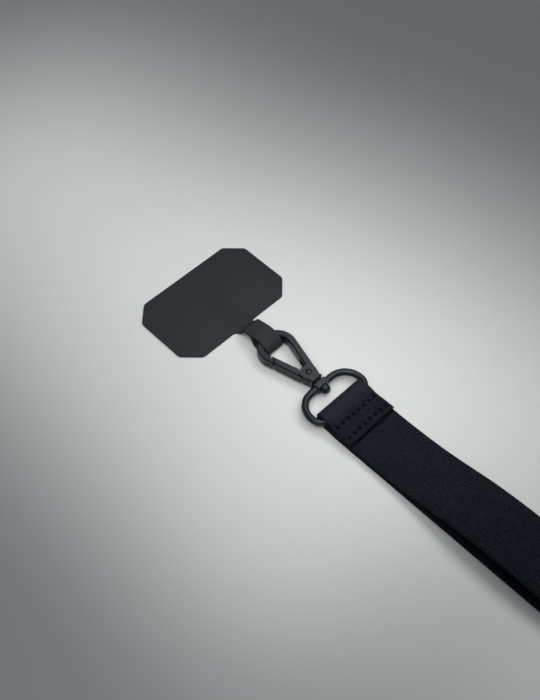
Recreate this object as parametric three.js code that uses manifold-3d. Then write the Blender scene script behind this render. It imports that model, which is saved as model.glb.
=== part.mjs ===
// A phone crossbody strap laid out on a table, in millimetres, +Z up.
// The patch lies at the origin. Its tab, the hook, the ring and the webbing follow along +X.
// The webbing is one band: it turns round the ring's bar, runs out along the table, comes back
// on top of itself and is sewn under its own folded end, so that it is a closed loop.

import * as THREE from 'three';
import { mergeVertices } from 'three/addons/utils/BufferGeometryUtils.js';
import Module from 'manifold-3d';

const wasm = await Module();
wasm.setup();

// The patch that lies inside a phone case, and the tab that comes out of it
const PATCH_WIDTH = 60;
const PATCH_DEPTH = 38;
const PATCH_CORNER = 7.2;
const PATCH_ROUND = 1.0;
const TAB_THICK = 1.0;
const TAB_SHOW = 11.5;
const TAB_PLAY = 1.15;
const TAB_LEAD = 0.25;
const NECK_SHOULDER = 1.8;
const NECK_LENGTH = 2.2;
const NECK_THICK = 1.8;
const NECK_LIFT = 1.9;
const NECK_RAMP = 3.45;
const NECK_RUN = 2.3;
const LOOP_ROUND = 1.8;

// The cast hook, seen from above as a teardrop
const EYE_RADIUS = 8.4;
const HOOK_LENGTH = 30.9;
const HOOK_WALL = 3.0;
const HOOK_THICK = 4.8;
const HOOK_BEVEL = 0.5;
const BASE_WIDTH = 4.8;
const FOOT_WIDTH = 5.6;
const FOOT_DEPTH = 0.8;

// The ears, the gate between them and the rivet that it turns on
const RIVET_BACK = 4.6;
const EAR_RADIUS = 3.55;
const EAR_THICK = 1.1;
const TRIM_BEVEL = 0.25;
const SLOT_WALL = 1.5;
const SLOT_FORE = 7.6;
const SLOT_AFT = 2.8;
const GATE_RADIUS = 16.9;
const GATE_LAP = 2.0;
const TANG_RADIUS = 1.9;
const SHAFT_RADIUS = 0.8;
const HEAD_RADIUS = 1.2;
const HEAD_RISE = 0.35;
const HEAD_SINK = 0.3;

// The swivel: a stud on the hook's foot that turns in a boss on the ring
const NECK_SHOW = 1.0;
const STUD_RADIUS = 1.2;
const STUD_HEAD_RADIUS = 2.1;
const STUD_RIM = 0.9;
const STUD_DOME = 1.7;
const BOSS_DEPTH = 2.8;
const BOSS_WIDTH = 6.0;
const BOSS_HEIGHT = 4.4;
const BOSS_BEVEL = 0.4;

// The wire ring
const WIRE_RADIUS = 1.5;
const RING_DEPTH = 13.4;
const RING_PLAY = 0;
const RING_FRONT_ROUND = 8.2;
const RING_REAR_ROUND = 4.8;

// The webbing
const WEB_WIDTH = 25;
const WEB_THICK = 1.7;
const PLY_GAP = 0.2;
const FLAP_LENGTH = 18.2;
const RAMP_LENGTH = 6.5;
const TUCK_LENGTH = 9.4;
const SEW_INSET = 0.9;
const SEW_LENGTH = 7.5;
const STRAP_DROP = 700;
const BEND_INSIDE = 6;
const BEND_RELAX = 70;
const HUMP_START = 7;
const HUMP_LENGTH = 130;
const HUMP_RISE = 6.4;

// Clearances: beside what seats, beside what turns, and round a fixed rivet
const SEAT_GAP = 0.3;
const RUN_GAP = 0.25;
const FIT_GAP = 0.1;

// Fineness of the curved faces
const ARC_STEPS = 32;
const ROUND_STEPS = 5;
const WIRE_SIDES = 12;
const WIRE_STEPS = 72;
const TURN_STEPS = 20;
const WELD = 1e-4;
const OVER = 1;
const FAR = 60;

// Places worked out from the sizes above
const AXIS_HEIGHT = Math.max(TAB_THICK + SEAT_GAP + HOOK_THICK / 2, WEB_THICK + SEAT_GAP + WIRE_RADIUS);
const HOOK_X = PATCH_DEPTH / 2 + TAB_SHOW;
const RIVET_U = HOOK_LENGTH - RIVET_BACK;
const TAB_WIDTH = 2 * (EYE_RADIUS - HOOK_WALL - TAB_PLAY);
const FOOT_X = HOOK_X + HOOK_LENGTH;
const BOSS_X = FOOT_X + NECK_SHOW;
const RING_X = BOSS_X + BOSS_DEPTH / 2;
const BAR_X = RING_X + RING_DEPTH;
const RING_HALF = WEB_WIDTH / 2 + RING_PLAY + WIRE_RADIUS;
const SLOT_HEIGHT = HOOK_THICK - 2 * EAR_THICK;

const BLACK_SHEET = new THREE.MeshStandardMaterial({ color: 0x303436, roughness: 0.85, metalness: 0 });
const BLACK_METAL = new THREE.MeshStandardMaterial({ color: 0x3c3f41, roughness: 0.4, metalness: 0.6 });
const BLACK_WEBBING = new THREE.MeshStandardMaterial({ color: 0x1e2125, roughness: 0.9, metalness: 0 });

// Points that lie together become one, and triangles that have shrunk to a line are dropped.
function welded(geometry) {
  const bare = geometry.clone();
  bare.deleteAttribute('normal');
  bare.deleteAttribute('uv');
  const merged = mergeVertices(bare, WELD);
  const corners = merged.index.array;
  const kept = [];
  for (let i = 0; i < corners.length; i += 3) {
    const [a, b, c] = [corners[i], corners[i + 1], corners[i + 2]];
    if (a !== b && b !== c && c !== a) kept.push(a, b, c);
  }
  merged.setIndex(kept);
  return merged;
}

// A closed geometry becomes a solid that can be joined and cut.
function solidOf(geometry) {
  const closed = welded(geometry);
  const vertProperties = new Float32Array(closed.attributes.position.array);
  const triVerts = new Uint32Array(closed.index.array);
  return new wasm.Manifold(new wasm.Mesh({ numProp: 3, vertProperties, triVerts }));
}

// A solid goes back to a geometry, and becomes a named mesh.
function meshOf(name, solid, material) {
  const { vertProperties, triVerts } = solid.getMesh();
  const cut = new THREE.BufferGeometry();
  cut.setAttribute('position', new THREE.BufferAttribute(vertProperties, 3));
  cut.setIndex(new THREE.BufferAttribute(triVerts, 1));
  const geometry = welded(cut);
  geometry.computeVertexNormals();
  const mesh = new THREE.Mesh(geometry, material);
  mesh.name = name;
  return mesh;
}

// A flat outline becomes a plate, centred on the height that is given.
// The bevel goes into the outline, so that the plate keeps its full size half way up.
function plate(shape, thick, height, bevel = 0) {
  const geometry = new THREE.ExtrudeGeometry(shape, {
    depth: thick - 2 * bevel,
    steps: 1,
    curveSegments: ARC_STEPS,
    bevelEnabled: bevel > 0,
    bevelThickness: bevel,
    bevelSize: bevel,
    bevelOffset: -bevel,
    bevelSegments: 1,
  });
  geometry.translate(0, 0, height - thick / 2 + bevel);
  return solidOf(geometry);
}

function disc(x, y, radius) {
  const shape = new THREE.Shape();
  shape.absarc(x, y, radius, 0, 2 * Math.PI, false);
  return shape;
}

function polygon(...corners) {
  return new THREE.Shape(corners.map(([x, y]) => new THREE.Vector2(x, y)));
}

function rectangle(x0, x1, y0, y1) {
  return polygon([x0, y0], [x1, y0], [x1, y1], [x0, y1]);
}

// A profile of [along, radius] pairs is turned about X, or about Z.
function turned(profile, axis) {
  const points = profile.map(([along, radius]) => new THREE.Vector2(radius, along));
  const geometry = new THREE.LatheGeometry(points, TURN_STEPS);
  if (axis === 'x') geometry.rotateZ(-Math.PI / 2);
  else geometry.rotateX(Math.PI / 2);
  return solidOf(geometry);
}

// The quarter of an ellipse that rounds a domed head, from its rim to its tip on the axis
function dome(from, rise, radius) {
  const profile = [];
  for (let i = 0; i <= ROUND_STEPS; i++) {
    const angle = (Math.PI / 2) * (i / ROUND_STEPS);
    const outer = i === ROUND_STEPS ? 0 : radius * Math.cos(angle);
    profile.push([from + rise * Math.sin(angle), outer]);
  }
  return profile;
}

// A side view's outline, in X and Z, is given its width in Y.
function fromSide(shape, width) {
  const geometry = new THREE.ExtrudeGeometry(shape, {
    depth: width,
    steps: 1,
    curveSegments: ROUND_STEPS * 2,
    bevelEnabled: false,
  });
  geometry.rotateX(Math.PI / 2);
  geometry.translate(0, width / 2, 0);
  return solidOf(geometry);
}

// A band of cloth: a side view's centreline, in X and Z, is given its thickness and its width in Y.
function band(path, thick, width) {
  const line = path.getPoints(ROUND_STEPS * 2)
    .filter((point, i, all) => i === 0 || point.distanceTo(all[i - 1]) > WELD);
  const above = [];
  const below = [];
  line.forEach((point, i) => {
    const before = line[Math.max(i - 1, 0)];
    const after = line[Math.min(i + 1, line.length - 1)];
    const arriving = point.clone().sub(before).normalize();
    const leaving = after.clone().sub(point).normalize();
    const along = arriving.clone().add(leaving).normalize();
    const lean = i > 0 && i < line.length - 1 ? Math.sqrt((1 + arriving.dot(leaving)) / 2) : 1;
    const reach = thick / 2 / lean;
    const side = new THREE.Vector2(-along.y, along.x).multiplyScalar(reach);
    above.push(point.clone().add(side));
    below.push(point.clone().sub(side));
  });
  return fromSide(new THREE.Shape([...above, ...below.reverse()]), width);
}

// A smooth step from where the path is to a new place, level at both ends
function stepTo(path, x, z) {
  const { x: x0, y: z0 } = path.currentPoint;
  const half = (x0 + x) / 2;
  path.bezierCurveTo(half, z0, half, z, x, z);
}

// The patch is an eight-sided sheet with slightly eased corners.
function patchShape() {
  const x = PATCH_DEPTH / 2;
  const y = PATCH_WIDTH / 2;
  const c = PATCH_CORNER;
  const corners = [
    [x, -y + c], [x, y - c], [x - c, y], [c - x, y],
    [-x, y - c], [-x, c - y], [c - x, -y], [x - c, -y],
  ].map(([cx, cy]) => new THREE.Vector2(cx, cy));
  const shape = new THREE.Shape();
  corners.forEach((corner, i) => {
    const before = corners[(i + corners.length - 1) % corners.length];
    const after = corners[(i + 1) % corners.length];
    const arrive = corner.clone().add(before.clone().sub(corner).setLength(PATCH_ROUND));
    const leave = corner.clone().add(after.clone().sub(corner).setLength(PATCH_ROUND));
    if (i === 0) shape.moveTo(arrive.x, arrive.y);
    else shape.lineTo(arrive.x, arrive.y);
    shape.quadraticCurveTo(corner.x, corner.y, leave.x, leave.y);
  });
  shape.closePath();
  return shape;
}

// The tab from the side: one ply in the patch, two in the neck, and a loop whose legs part in
// front of the hook. On a slope the outer face runs ahead of the inner one, to keep its thickness.
function tabSide() {
  const edge = PATCH_DEPTH / 2;
  const neckStart = edge + NECK_RAMP;
  const split = neckStart + NECK_RUN;
  const mouth = HOOK_X - SEAT_GAP;
  const inside = HOOK_THICK / 2 + SEAT_GAP;
  const outside = inside + TAB_THICK;
  const round = Math.min(LOOP_ROUND, inside);
  const wallReach = Math.sqrt((EYE_RADIUS - HOOK_WALL) ** 2 - (TAB_WIDTH / 2) ** 2);
  const turn = HOOK_X + EYE_RADIUS - wallReach - HOOK_BEVEL;
  const lowerRound = AXIS_HEIGHT - inside + round;
  const upperRound = AXIS_HEIGHT + inside - round;

  const outline = new THREE.Shape();
  outline.moveTo(edge - PATCH_CORNER, 0);
  outline.lineTo(edge, 0);
  stepTo(outline, neckStart, NECK_LIFT - NECK_THICK / 2);
  outline.lineTo(split - TAB_LEAD, NECK_LIFT - NECK_THICK / 2);
  stepTo(outline, mouth - 2 * TAB_LEAD, AXIS_HEIGHT - outside);
  outline.absarc(turn, lowerRound, round + TAB_THICK, -Math.PI / 2, 0, false);
  outline.absarc(turn, upperRound, round + TAB_THICK, 0, Math.PI / 2, false);
  outline.lineTo(mouth - 2 * TAB_LEAD, AXIS_HEIGHT + outside);
  stepTo(outline, split - TAB_LEAD, NECK_LIFT + NECK_THICK / 2);
  outline.lineTo(neckStart, NECK_LIFT + NECK_THICK / 2);
  stepTo(outline, edge, TAB_THICK);
  outline.lineTo(edge - PATCH_CORNER, TAB_THICK);
  outline.closePath();

  const space = new THREE.Path();
  space.moveTo(split + TAB_LEAD, NECK_LIFT - PLY_GAP / 2);
  stepTo(space, mouth, AXIS_HEIGHT - inside);
  space.absarc(turn, lowerRound, round, -Math.PI / 2, 0, false);
  space.absarc(turn, upperRound, round, 0, Math.PI / 2, false);
  space.lineTo(mouth, AXIS_HEIGHT + inside);
  stepTo(space, split + TAB_LEAD, NECK_LIFT + PLY_GAP / 2);
  space.closePath();
  outline.holes.push(space);
  return outline;
}

function phonePatch() {
  const sheet = plate(patchShape(), TAB_THICK, TAB_THICK / 2);
  const shoulder = PATCH_DEPTH / 2 + NECK_LENGTH;
  const near = plate(rectangle(-FAR, shoulder, -FAR, FAR), FAR, AXIS_HEIGHT);
  const neck = fromSide(tabSide(), TAB_WIDTH + 2 * NECK_SHOULDER).intersect(near);
  return sheet.add(fromSide(tabSide(), TAB_WIDTH)).add(neck);
}

// The hook's outline, drawn in from its full size by an inset and cut off at a length.
// An arc round the eye runs on into two straight sides, which meet the foot's corners.
const EYE_TO_FOOT = HOOK_LENGTH - EYE_RADIUS;
const LEAN = Math.atan2(BASE_WIDTH / 2, EYE_TO_FOOT)
  + Math.acos(EYE_RADIUS / Math.hypot(EYE_TO_FOOT, BASE_WIDTH / 2));

function halfWidth(u, inset) {
  return Math.max((EYE_RADIUS - inset - (u - EYE_RADIUS) * Math.cos(LEAN)) / Math.sin(LEAN), 0);
}

function teardrop(inset, end) {
  const apex = EYE_RADIUS + (EYE_RADIUS - inset) / Math.cos(LEAN);
  const last = Math.min(end, apex);
  const half = halfWidth(last, inset);
  const shape = new THREE.Shape();
  shape.absarc(HOOK_X + EYE_RADIUS, 0, EYE_RADIUS - inset, LEAN, 2 * Math.PI - LEAN, false);
  shape.lineTo(HOOK_X + last, -half);
  if (half > 0) shape.lineTo(HOOK_X + last, half);
  shape.closePath();
  return shape;
}

const RIVET_X = HOOK_X + RIVET_U;

// Everything on the gate's side of the hook, in front of the rivet
function gateSide() {
  const sideways = [RIVET_X + FAR * Math.cos(LEAN), -FAR * Math.sin(LEAN)];
  return plate(polygon([RIVET_X, 0], [-FAR, 0], [-FAR, -FAR], sideways), FAR, AXIS_HEIGHT);
}

function aboutRivet(radius, thick = FAR) {
  return plate(disc(RIVET_X, 0, radius), thick, AXIS_HEIGHT);
}

function insideOf(inset) {
  return plate(teardrop(inset, HOOK_LENGTH + OVER), FAR, AXIS_HEIGHT);
}

// The teardrop's wall with its bevels, all round, before the gate is parted from it
function hookWall() {
  const outline = teardrop(0, HOOK_LENGTH);
  outline.holes.push(teardrop(HOOK_WALL, RIVET_U));
  return plate(outline, HOOK_THICK, AXIS_HEIGHT, HOOK_BEVEL);
}

// The space between the ears, open on the gate's side
function earSlot() {
  const fore = RIVET_X - SLOT_FORE;
  const aft = RIVET_X + SLOT_AFT;
  const inner = plate(teardrop(SLOT_WALL, HOOK_LENGTH), SLOT_HEIGHT, AXIS_HEIGHT);
  const open = plate(rectangle(fore - FAR, aft + FAR, -FAR, 0), SLOT_HEIGHT, AXIS_HEIGHT);
  const span = plate(rectangle(fore, aft, -FAR, FAR), FAR, AXIS_HEIGHT);
  return inner.add(open).intersect(span);
}

// The stud that turns in the ring's boss, with its domed head behind the boss
function stud() {
  const shoulder = BOSS_X + BOSS_DEPTH + SEAT_GAP;
  return turned([
    [FOOT_X - OVER, 0],
    [FOOT_X - OVER, STUD_RADIUS],
    [shoulder, STUD_RADIUS],
    [shoulder, STUD_HEAD_RADIUS],
    ...dome(shoulder + STUD_RIM, STUD_DOME, STUD_HEAD_RADIUS),
  ], 'x').translate([0, 0, AXIS_HEIGHT]);
}

function hookBody() {
  const ears = plate(disc(RIVET_X, 0, EAR_RADIUS), HOOK_THICK, AXIS_HEIGHT, TRIM_BEVEL);
  const full = aboutRivet(GATE_RADIUS - GATE_LAP);
  const lapped = aboutRivet(GATE_RADIUS).intersect(insideOf(HOOK_WALL / 2));
  const opening = full.add(lapped).intersect(gateSide()).subtract(aboutRivet(EAR_RADIUS));
  const foot = plate(
    rectangle(FOOT_X - FOOT_DEPTH, FOOT_X, -FOOT_WIDTH / 2, FOOT_WIDTH / 2),
    HOOK_THICK, AXIS_HEIGHT, TRIM_BEVEL,
  );
  const sink = HOOK_THICK - 2 * HEAD_SINK;
  const seats = aboutRivet(HEAD_RADIUS + RUN_GAP).subtract(aboutRivet(HEAD_RADIUS + OVER, sink));
  return hookWall().add(ears).subtract(opening).subtract(earSlot()).add(foot).add(stud())
    .subtract(aboutRivet(SHAFT_RADIUS + FIT_GAP)).subtract(seats);
}

// The gate: the wall's own section from the nose to the ears, and a tang that goes between them
function gate() {
  const outer = hookWall().intersect(aboutRivet(GATE_RADIUS - GATE_LAP - RUN_GAP));
  const lip = hookWall().intersect(insideOf(HOOK_WALL / 2 + RUN_GAP))
    .intersect(aboutRivet(GATE_RADIUS - RUN_GAP));
  const arm = outer.add(lip).intersect(gateSide()).subtract(aboutRivet(EAR_RADIUS + RUN_GAP));
  const tangThick = SLOT_HEIGHT - 2 * RUN_GAP;
  const ribbon = teardrop(0, HOOK_LENGTH);
  ribbon.holes.push(teardrop(HOOK_WALL, RIVET_U + SLOT_AFT));
  const reach = rectangle(RIVET_X - EAR_RADIUS - OVER, RIVET_X + SLOT_AFT - RUN_GAP, -FAR, 0);
  const wedge = plate(ribbon, tangThick, AXIS_HEIGHT).intersect(plate(reach, FAR, AXIS_HEIGHT));
  const hub = aboutRivet(TANG_RADIUS, tangThick);
  return arm.add(wedge).add(hub).subtract(aboutRivet(SHAFT_RADIUS + RUN_GAP));
}

function gateRivet() {
  const seat = HOOK_THICK / 2 - HEAD_SINK + FIT_GAP;
  const upper = dome(seat + HEAD_SINK, HEAD_RISE, HEAD_RADIUS);
  const lower = upper.map(([along, radius]) => [-along, radius]).reverse();
  return turned([
    ...lower,
    [-seat, HEAD_RADIUS],
    [-seat, SHAFT_RADIUS],
    [seat, SHAFT_RADIUS],
    [seat, HEAD_RADIUS],
    ...upper,
  ], 'z').translate([RIVET_X, 0, AXIS_HEIGHT]);
}

// A quarter turn of the ring's wire, seen from above
class WireCorner extends THREE.Curve {
  constructor(x, y, radius, start) {
    super();
    Object.assign(this, { x, y, radius, start });
  }

  getPoint(t, target = new THREE.Vector3()) {
    const angle = this.start + t * Math.PI / 2;
    const x = this.x + this.radius * Math.cos(angle);
    const y = this.y + this.radius * Math.sin(angle);
    return target.set(x, y, AXIS_HEIGHT);
  }
}

// The ring's centreline: a rounded oblong with wide front corners and tighter rear ones
function ringLine() {
  const front = RING_FRONT_ROUND;
  const rear = RING_REAR_ROUND;
  const corners = [
    new WireCorner(BAR_X - rear, RING_HALF - rear, rear, 0),
    new WireCorner(RING_X + front, RING_HALF - front, front, Math.PI / 2),
    new WireCorner(RING_X + front, front - RING_HALF, front, Math.PI),
    new WireCorner(BAR_X - rear, rear - RING_HALF, rear, 1.5 * Math.PI),
  ];
  const line = new THREE.CurvePath();
  corners.forEach((corner, i) => {
    const next = corners[(i + 1) % corners.length];
    line.add(corner);
    line.add(new THREE.LineCurve3(corner.getPoint(1), next.getPoint(0)));
  });
  return line;
}

function ringWire(radius) {
  return solidOf(new THREE.TubeGeometry(ringLine(), WIRE_STEPS, radius, WIRE_SIDES, true));
}

function ring() {
  const block = plate(
    rectangle(BOSS_X, BOSS_X + BOSS_DEPTH, -BOSS_WIDTH / 2, BOSS_WIDTH / 2),
    BOSS_HEIGHT, AXIS_HEIGHT, BOSS_BEVEL,
  );
  const bore = turned([
    [BOSS_X - OVER, 0],
    [BOSS_X - OVER, STUD_RADIUS + RUN_GAP],
    [BOSS_X + BOSS_DEPTH + OVER, STUD_RADIUS + RUN_GAP],
    [BOSS_X + BOSS_DEPTH + OVER, 0],
  ], 'x').translate([0, 0, AXIS_HEIGHT]);
  return ringWire(WIRE_RADIUS).add(block).subtract(bore);
}

// The strap from the side: the folded end, the turn round the bar, the lower layer on the table,
// the far bend, and the upper layer that comes back with a low hump and ends under the fold
function strap() {
  const lower = WEB_THICK / 2;
  const upper = lower + WEB_THICK + PLY_GAP;
  const flap = upper + WEB_THICK + PLY_GAP;
  const cornerDip = RING_REAR_ROUND - RING_PLAY - WIRE_RADIUS;
  const foldX = BAR_X - RING_REAR_ROUND + Math.sqrt(RING_REAR_ROUND ** 2 - cornerDip ** 2);
  const foldRadius = WIRE_RADIUS + SEAT_GAP + WEB_THICK / 2;
  const flapEnd = foldX - foldRadius + FLAP_LENGTH;
  const flapStart = BAR_X + RAMP_LENGTH;
  const bend = BEND_INSIDE + WEB_THICK / 2;
  const bendX = BAR_X + STRAP_DROP - bend;
  const humpX = flapEnd + HUMP_START;

  const path = new THREE.Path();
  path.moveTo(flapEnd, flap);
  path.lineTo(flapStart, flap);
  stepTo(path, BAR_X, AXIS_HEIGHT + foldRadius);
  path.lineTo(foldX, AXIS_HEIGHT + foldRadius);
  path.absarc(foldX, AXIS_HEIGHT, foldRadius, Math.PI / 2, 1.5 * Math.PI, false);
  path.lineTo(BAR_X, AXIS_HEIGHT - foldRadius);
  stepTo(path, flapStart, lower);
  path.lineTo(bendX, lower);
  path.absarc(bendX, lower + bend, bend, 1.5 * Math.PI, 0.5 * Math.PI, false);
  stepTo(path, bendX - BEND_RELAX, upper);
  path.lineTo(humpX + HUMP_LENGTH, upper);
  stepTo(path, humpX + HUMP_LENGTH / 2, upper + HUMP_RISE);
  stepTo(path, humpX, upper);
  path.lineTo(flapEnd - TUCK_LENGTH, upper);

  const sewEnd = flapEnd - SEW_INSET;
  const sewn = plate(
    rectangle(sewEnd - SEW_LENGTH, sewEnd, -WEB_WIDTH / 2 + SEW_INSET, WEB_WIDTH / 2 - SEW_INSET),
    flap - lower, (flap + lower) / 2,
  );
  return band(path, WEB_THICK, WEB_WIDTH).add(sewn).subtract(ringWire(WIRE_RADIUS + SEAT_GAP));
}

const phoneStrap = new THREE.Group();
phoneStrap.add(
  meshOf('phone_patch', phonePatch(), BLACK_SHEET),
  meshOf('hook_body', hookBody(), BLACK_METAL),
  meshOf('gate', gate(), BLACK_METAL),
  meshOf('gate_rivet', gateRivet(), BLACK_METAL),
  meshOf('ring', ring(), BLACK_METAL),
  meshOf('strap', strap(), BLACK_WEBBING),
);

export default phoneStrap;
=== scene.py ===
# %% [markdown]
# A phone crossbody strap, dressed for its photograph.
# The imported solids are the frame: they say where every piece is and how big it is. This lesson
# gives each of them the surface of the real thing. Cloth is cut flat and laid along its route,
# castings get the soft edges that a mould leaves, and wire is swept round its bends.

# %% The frame
import bisect
import math

import bmesh
import bpy
from mathutils import Matrix, Vector


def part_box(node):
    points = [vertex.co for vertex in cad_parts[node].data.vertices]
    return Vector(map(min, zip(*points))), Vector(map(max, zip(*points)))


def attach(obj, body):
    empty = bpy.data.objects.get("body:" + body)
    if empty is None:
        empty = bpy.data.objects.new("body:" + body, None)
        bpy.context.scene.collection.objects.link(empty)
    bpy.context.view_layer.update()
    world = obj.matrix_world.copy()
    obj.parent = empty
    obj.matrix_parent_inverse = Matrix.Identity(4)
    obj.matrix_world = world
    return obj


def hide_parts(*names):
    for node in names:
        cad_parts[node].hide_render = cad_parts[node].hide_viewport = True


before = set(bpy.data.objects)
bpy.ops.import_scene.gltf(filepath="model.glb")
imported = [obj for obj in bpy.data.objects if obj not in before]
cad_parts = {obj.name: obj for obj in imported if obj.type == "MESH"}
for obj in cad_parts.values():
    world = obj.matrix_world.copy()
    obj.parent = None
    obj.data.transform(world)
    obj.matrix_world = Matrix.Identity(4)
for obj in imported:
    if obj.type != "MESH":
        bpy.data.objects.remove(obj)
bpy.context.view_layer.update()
MM = 0.001

patch_low, patch_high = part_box("phone_patch")
hook_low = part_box("hook_body")[0]
gate_low, gate_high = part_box("gate")
rivet_low, rivet_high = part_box("gate_rivet")
ring_low, ring_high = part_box("ring")
strap_low, strap_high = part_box("strap")

AXIS_Z = (gate_low.z + gate_high.z) / 2
HOOK_X = hook_low.x
print("axis height %.2f mm, hook from x %.1f mm" % (AXIS_Z / MM, HOOK_X / MM))


# %% [markdown]
# The camera comes first, because everything else is judged through it. Its angle was found from
# the patch's corners and the webbing's edges in the photograph: a lens of about 51 mm on a 36 mm
# high sensor, 54.6 degrees above the table, turned 45.5 degrees from square across the strap.

# %% The camera
CAMERA_ELEVATION = 54.59
CAMERA_AZIMUTH = 45.50
CAMERA_DISTANCE = 0.4144
CAMERA_AIM = Vector((0.0353, -0.0006, 0))
CAMERA_LENS = 51.43
SENSOR_HEIGHT = 36


def place_camera():
    elevation = math.radians(CAMERA_ELEVATION)
    azimuth = math.radians(CAMERA_AZIMUTH)
    back = Vector((
        math.sin(azimuth) * math.cos(elevation),
        -math.cos(azimuth) * math.cos(elevation),
        math.sin(elevation),
    ))
    camera = bpy.data.objects.new("camera", bpy.data.cameras.new("camera"))
    camera.data.sensor_fit = "VERTICAL"
    camera.data.sensor_height = SENSOR_HEIGHT
    camera.data.lens = CAMERA_LENS
    camera.location = CAMERA_AIM + back * CAMERA_DISTANCE
    camera.rotation_euler = back.to_track_quat("Z", "Y").to_euler()
    bpy.context.scene.collection.objects.link(camera)
    bpy.context.scene.camera = camera


place_camera()


# %% [markdown]
# Shader maths reads best as plain arithmetic. A Socket wraps one output of a node, and an
# expression on it adds the Math nodes that it needs. Nodes wraps a tree, and its node method adds
# any other kind of node. A Finish is a material in the making, which is a tree with a shader.

# %% Sockets and finishes
class Socket:
    def __init__(self, finish, link):
        self.finish = finish
        self.link = link

    def maths(self, operation, *others):
        values = dict(enumerate((self, *others)))
        return self.finish.node("ShaderNodeMath", {"operation": operation}, values)

    def reflected(self, operation, other):
        values = {0: other, 1: self}
        return self.finish.node("ShaderNodeMath", {"operation": operation}, values)

    def __add__(self, other):
        return self.maths("ADD", other)

    __radd__ = __add__

    def __sub__(self, other):
        return self.maths("SUBTRACT", other)

    def __rsub__(self, other):
        return self.reflected("SUBTRACT", other)

    def __mul__(self, other):
        return self.maths("MULTIPLY", other)

    __rmul__ = __mul__

    def __truediv__(self, other):
        return self.maths("DIVIDE", other)

    def __abs__(self):
        return self.maths("ABSOLUTE")

    def floor(self):
        return self.maths("FLOOR")

    def fract(self):
        return self.maths("FRACT")

    def sine(self):
        return self.maths("SINE")

    def clamped(self):
        sockets = {"Value": self}
        return self.finish.node("ShaderNodeClamp", {}, sockets)


class Nodes:
    def __init__(self, tree):
        self.tree = tree

    def feed(self, socket, value):
        if isinstance(value, Socket):
            self.tree.links.new(value.link, socket)
        else:
            socket.default_value = value

    def node(self, kind, settings, sockets, output=0):
        made = self.tree.nodes.new(kind)
        for name, value in settings.items():
            setattr(made, name, value)
        for name, value in sockets.items():
            self.feed(made.inputs[name], value)
        return Socket(self, made.outputs[output])


class Finish(Nodes):
    def __init__(self, name):
        self.material = bpy.data.materials.new(name)
        self.material.use_nodes = True
        super().__init__(self.material.node_tree)
        self.shader = self.tree.nodes["Principled BSDF"]

    def surface(self, sockets):
        for name, value in sockets.items():
            self.feed(self.shader.inputs[name], value)

    def colours(self, mask, low, high):
        settings = {"data_type": "RGBA"}
        return self.node("ShaderNodeMix", settings, {0: mask, 6: (*low, 1), 7: (*high, 1)}, 2)

    def noise(self, place, scale, detail=2.0, roughness=0.5):
        sockets = {"Vector": place, "Scale": scale, "Detail": detail, "Roughness": roughness}
        return self.node("ShaderNodeTexNoise", {}, sockets)

    def object_place(self):
        return self.node("ShaderNodeTexCoord", {}, {}, "Object")

    def bump(self, height, distance, strength=1.0):
        sockets = {"Height": height, "Distance": distance, "Strength": strength}
        self.surface({"Normal": self.node("ShaderNodeBump", {}, sockets)})


# %% [markdown]
# Every piece goes through the same last steps. Its mesh becomes an object at the origin, edges
# sharper than a limit stay crisp, it is told which body it rides on and which finish it takes,
# and the solids it stands for are hidden.

# %% Pieces
SLOTS = {}
CRISP_ANGLE = 35


def piece(name, bm, body, slot, replaces=(), crisp=CRISP_ANGLE):
    for face in bm.faces:
        face.smooth = True
    for edge in bm.edges:
        if len(edge.link_faces) == 2:
            edge.smooth = edge.calc_face_angle() < math.radians(crisp)
    mesh = bpy.data.meshes.new(name)
    bm.to_mesh(mesh)
    bm.free()
    made = bpy.data.objects.new(name, mesh)
    made.data.materials.append(SLOTS[slot])
    bpy.context.scene.collection.objects.link(made)
    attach(made, body)
    if replaces:
        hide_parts(*replaces)
    print("%s: %d faces" % (name, len(mesh.polygons)))
    return made


# %% [markdown]
# The patch and its tab are one dark sheet with a matt, faintly grained coating. A very fine noise
# makes the grain, and a much larger one keeps the wide flat face from looking printed.

# %% The sheet's finish
SHEET_DARK = (0.016, 0.0205, 0.0240)
SHEET_LIGHT = (0.024, 0.0290, 0.0325)
SHEET_GRAIN = 5200
SHEET_CLOUD = 60
GRAIN_SHARE = 0.7
CLOUD_SHARE = 0.3
SHEET_ROUGH = 0.68
SHEET_ROUGH_SPREAD = 0.2
SHEET_SHINE = 0.25
GRAIN_DEPTH = 0.03 * MM
GRAIN_STRENGTH = 0.5


def sheet_finish():
    finish = Finish("patch_sheet")
    place = finish.object_place()
    grain = finish.noise(place, SHEET_GRAIN, 3.0, 0.6)
    cloud = finish.noise(place, SHEET_CLOUD)
    shade = (grain * GRAIN_SHARE + cloud * CLOUD_SHARE).clamped()
    finish.surface({
        "Base Color": finish.colours(shade, SHEET_DARK, SHEET_LIGHT),
        "Roughness": grain * SHEET_ROUGH_SPREAD + SHEET_ROUGH,
        "Specular IOR Level": SHEET_SHINE,
    })
    finish.bump(grain, GRAIN_DEPTH, GRAIN_STRENGTH)
    return finish.material


SLOTS["patch_sheet"] = sheet_finish()


# %% [markdown]
# The castings and the ring wire carry a satin black coat. It is not a mirror: its roughness and a
# faint orange peel blur what it reflects, and handling leaves it a little smoother in patches.

# %% The black metal's finish
METAL_DARK = (0.0058, 0.0075, 0.0096)
METAL_LIGHT = (0.0100, 0.0126, 0.0156)
PEEL_SCALE = 1600
HANDLING_SCALE = 180
METAL_ROUGH = 0.27
METAL_ROUGH_SPREAD = 0.14
METAL_SHINE = 0.33
METAL_TINT = (0.86, 0.93, 1.0, 1)
PEEL_DEPTH = 0.03 * MM
PEEL_STRENGTH = 0.45


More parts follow.
